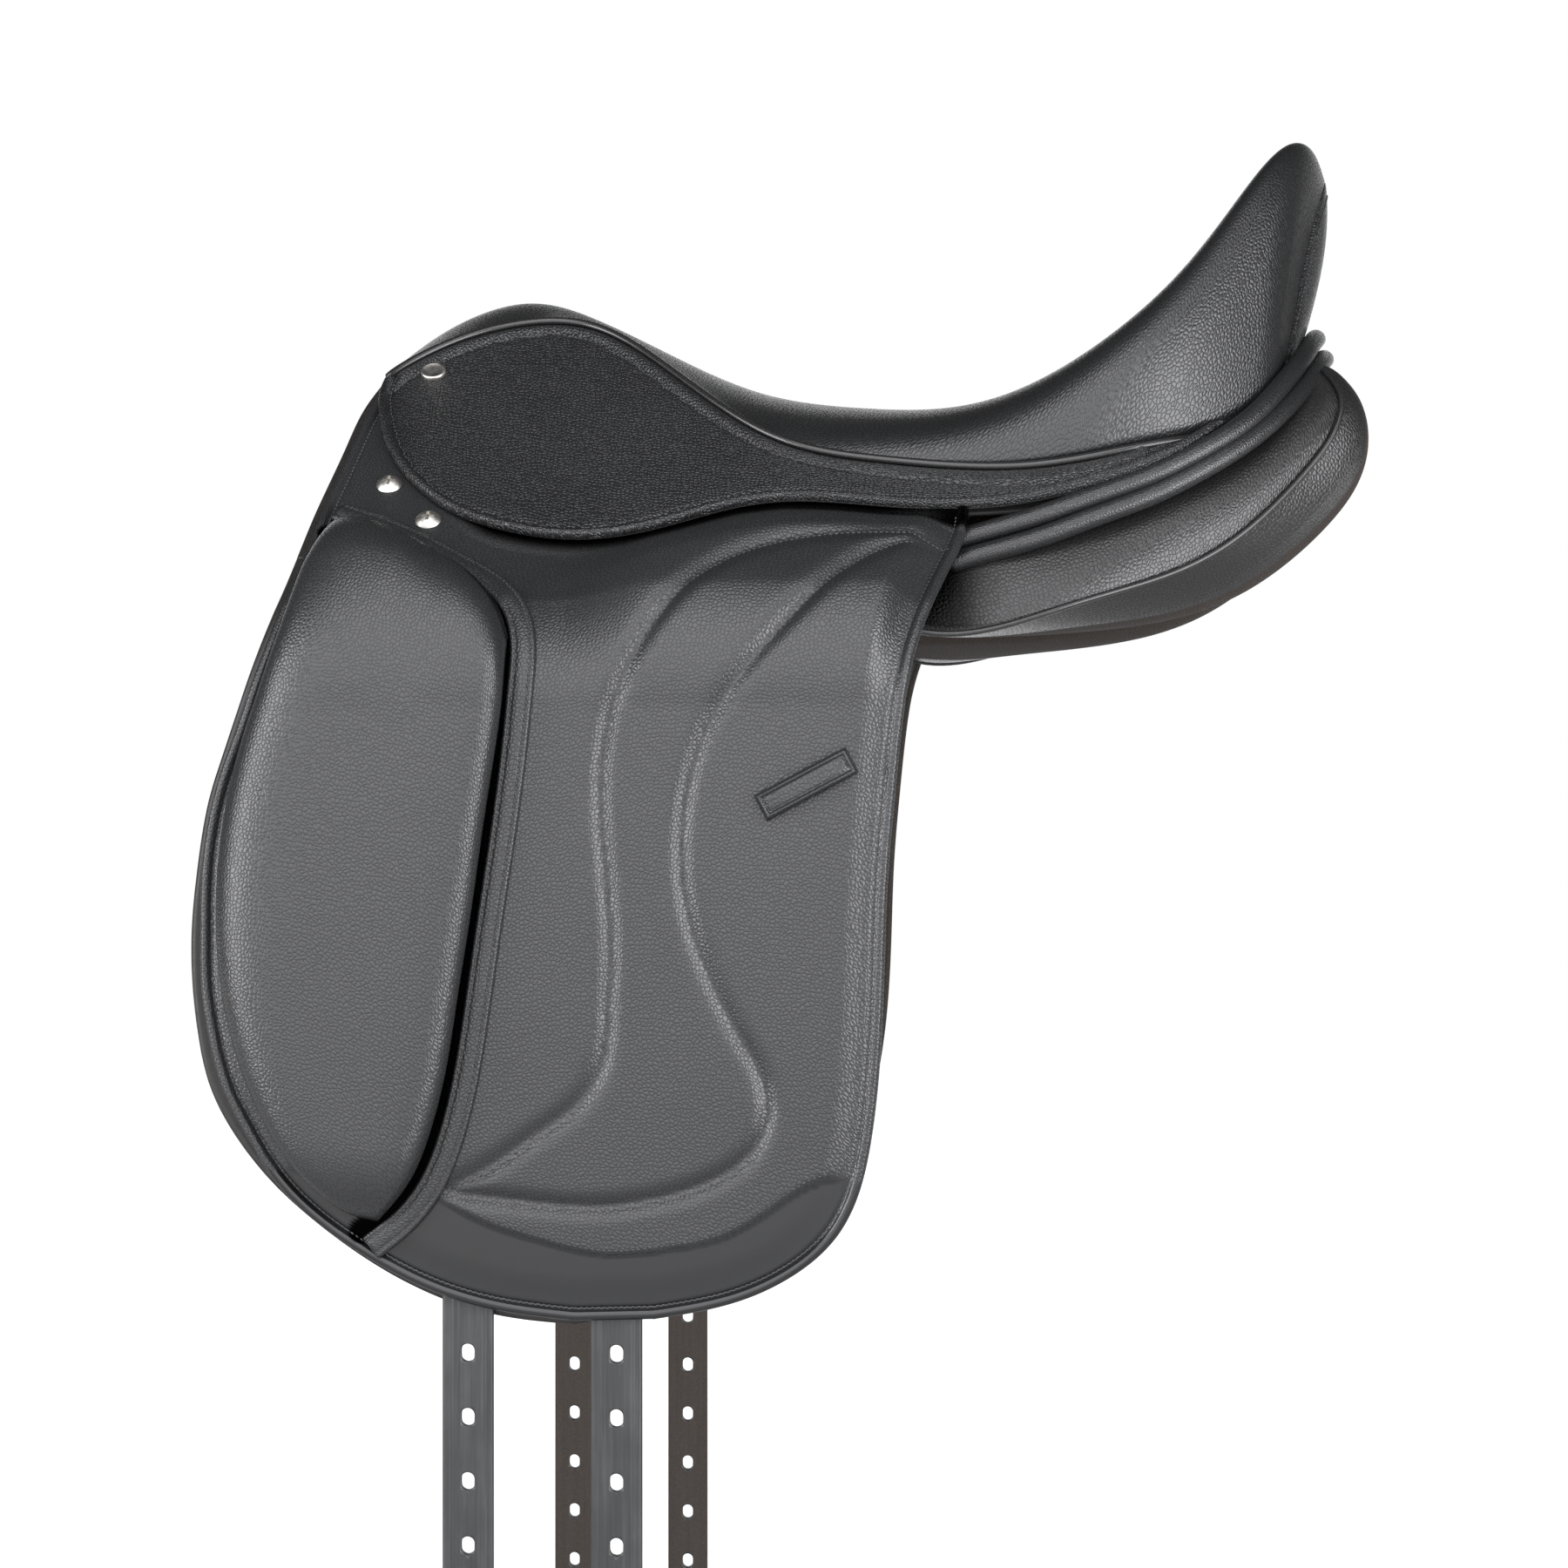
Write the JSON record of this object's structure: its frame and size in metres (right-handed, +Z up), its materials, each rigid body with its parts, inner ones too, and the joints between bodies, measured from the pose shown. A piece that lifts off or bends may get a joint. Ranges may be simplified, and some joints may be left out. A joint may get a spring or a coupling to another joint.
{
  "type": "dressage saddle",
  "caption": "Deep-seated dressage saddle with long straight flaps and skirts that lift, outer knee blocks, piped stuffed panels, hidden stirrup bars and long girth straps that swing.",
  "frame": {"origin": "on the middle plane under the deepest part of the seat, level with the lowest line of the panels, where the saddle lies on the horse's back", "axes": "+X towards the horse's head, +Y to the horse's left, +Z up"},
  "size_m": [0.5266, 0.4722, 0.806],
  "materials": {
    "wood": "laminated, sealed",
    "steel": "satin",
    "foam": "open cell foam",
    "seat_leather": "pebble grain, soft sheen",
    "piping": "smooth, glossy",
    "nickel": "polished nickel",
    "flap_leather": "pebble grain, satin",
    "strap_leather": "smooth, satin",
    "panel_stuffing": "leather over wool flock",
    "webbing": "woven tape"
  },
  "bodies": {
    "saddle_body": {"tree": "wood", "tree_rail_left": "wood", "tree_rail_right": "wood", "gullet_plate": "steel", "plate_rivets": "steel", "stirrup_bar_left": "steel", "stirrup_bar_right": "steel", "bar_rivets": "steel", "web_nails": "steel", "strap_rivets": "steel", "seat_foam": "foam", "seat_cover": "seat_leather", "cantle_back": "seat_leather", "rear_roll_upper": "seat_leather", "rear_roll_lower": "seat_leather", "skirt_root_left": "seat_leather", "skirt_root_right": "seat_leather", "seat_welt_left": "piping", "seat_welt_right": "piping", "panel_welt_left": "piping", "panel_welt_right": "piping", "head_nails": "nickel", "flap_screws": "nickel", "flap_top_left": "flap_leather", "flap_top_right": "flap_leather", "sweat_flap_left": "strap_leather", "sweat_flap_right": "strap_leather", "panel_left": "panel_stuffing", "panel_right": "panel_stuffing", "girth_webs_left": "webbing", "girth_webs_right": "webbing"},
    "left_flap": {"flap_left": "flap_leather", "flap_facing_left": "flap_leather", "knee_block_left": "flap_leather", "knee_welt_left": "flap_leather", "keeper_left": "flap_leather"},
    "left_skirt": {"skirt_left": "seat_leather"},
    "left_front_strap": {"girth_strap_front_left": "strap_leather"},
    "left_rear_strap": {"girth_strap_rear_left": "strap_leather"},
    "left_catch": {"stirrup_catch_left": "steel"},
    "right_flap": {"flap_right": "flap_leather", "flap_facing_right": "flap_leather", "knee_block_right": "flap_leather", "knee_welt_right": "flap_leather", "keeper_right": "flap_leather"},
    "right_skirt": {"skirt_right": "seat_leather"},
    "right_front_strap": {"girth_strap_front_right": "strap_leather"},
    "right_rear_strap": {"girth_strap_rear_right": "strap_leather"},
    "right_catch": {"stirrup_catch_right": "steel"}
  },
  "joints": [
    {"name": "flap_lift_left", "type": "hinge", "parent": "saddle_body", "child": "left_flap", "pos_m": [0.108, 0.17707, 0.0395], "axis": [0.9934, -0.081, 0.081], "range_deg": [0, 70]},
    {"name": "skirt_lift_left", "type": "hinge", "parent": "saddle_body", "child": "left_skirt", "pos_m": [0.1315, 0.11274, 0.1085], "axis": [0.9662, -0.1822, 0.1822], "range_deg": [0, 70]},
    {"name": "girth_strap_swing_front_left", "type": "hinge", "parent": "saddle_body", "child": "left_front_strap", "pos_m": [0.172, 0.20475, -0.044], "axis": [0, 1, 0], "range_deg": [-10, 2]},
    {"name": "girth_strap_swing_rear_left", "type": "hinge", "parent": "saddle_body", "child": "left_rear_strap", "pos_m": [0.107, 0.20475, -0.044], "axis": [0, 1, 0], "range_deg": [-2, 10]},
    {"name": "catch_turn_left", "type": "hinge", "parent": "saddle_body", "child": "left_catch", "pos_m": [0.098, 0.11788, 0.09703], "axis": [0, 0.7071, 0.7071], "range_deg": [0, 75]},
    {"name": "flap_lift_right", "type": "hinge", "parent": "saddle_body", "child": "right_flap", "pos_m": [0.108, -0.17707, 0.0395], "axis": [-0.9934, -0.081, -0.081], "range_deg": [0, 70]},
    {"name": "skirt_lift_right", "type": "hinge", "parent": "saddle_body", "child": "right_skirt", "pos_m": [0.1315, -0.11274, 0.1085], "axis": [-0.9662, -0.1822, -0.1822], "range_deg": [0, 70]},
    {"name": "girth_strap_swing_front_right", "type": "hinge", "parent": "saddle_body", "child": "right_front_strap", "pos_m": [0.172, -0.20475, -0.044], "axis": [0, 1, 0], "range_deg": [-10, 2]},
    {"name": "girth_strap_swing_rear_right", "type": "hinge", "parent": "saddle_body", "child": "right_rear_strap", "pos_m": [0.107, -0.20475, -0.044], "axis": [0, 1, 0], "range_deg": [-2, 10]},
    {"name": "catch_turn_right", "type": "hinge", "parent": "saddle_body", "child": "right_catch", "pos_m": [0.098, -0.11788, 0.09703], "axis": [0, 0.7071, -0.7071], "range_deg": [0, 75]}
  ]
}
